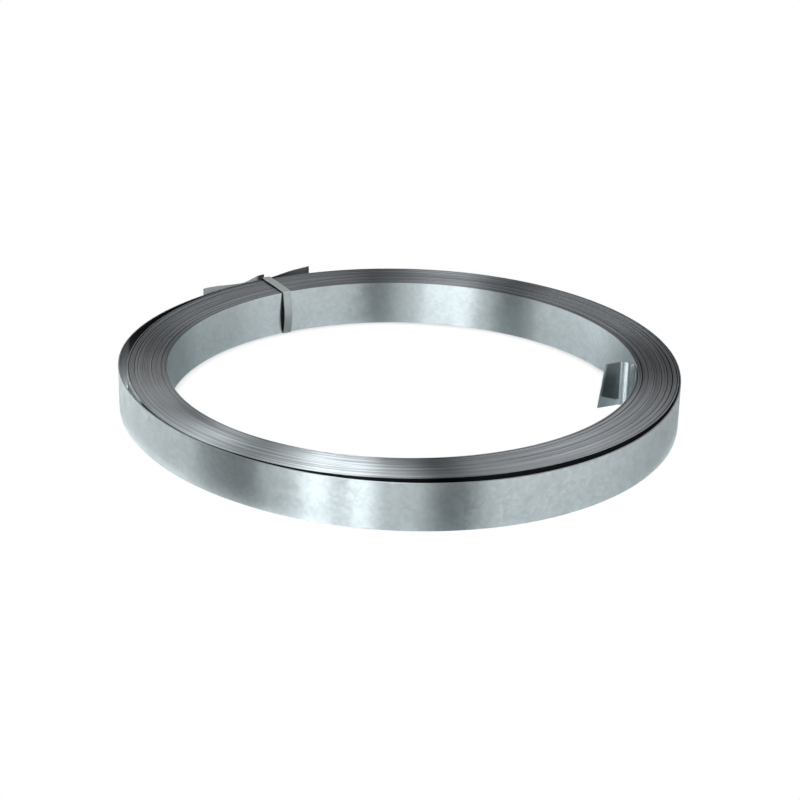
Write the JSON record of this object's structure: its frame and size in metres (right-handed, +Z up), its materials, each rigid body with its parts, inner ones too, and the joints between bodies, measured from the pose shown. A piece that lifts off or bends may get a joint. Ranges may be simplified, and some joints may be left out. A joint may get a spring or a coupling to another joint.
{
  "type": "steel strip coil",
  "caption": "Flat open coil of narrow galvanised steel strip lying on its side, held by a thin tie strap, with a loose outer turn and a hooked inner end.",
  "frame": {"origin": "centre of the footprint on the floor, under the coil, which lies flat", "axes": "+Z up along the coil's axis; -Y is the front, from which the hooked inner end is at the right and the tie at the back left"},
  "size_m": [0.361, 0.367, 0.0343],
  "materials": {
    "galvanised_strip": "bright galvanised strip with slit edges",
    "tie_strap": "matt galvanised band"
  },
  "bodies": {
    "root": {"strip_coil": "galvanised_strip", "tie_strap": "tie_strap"}
  },
  "joints": []
}
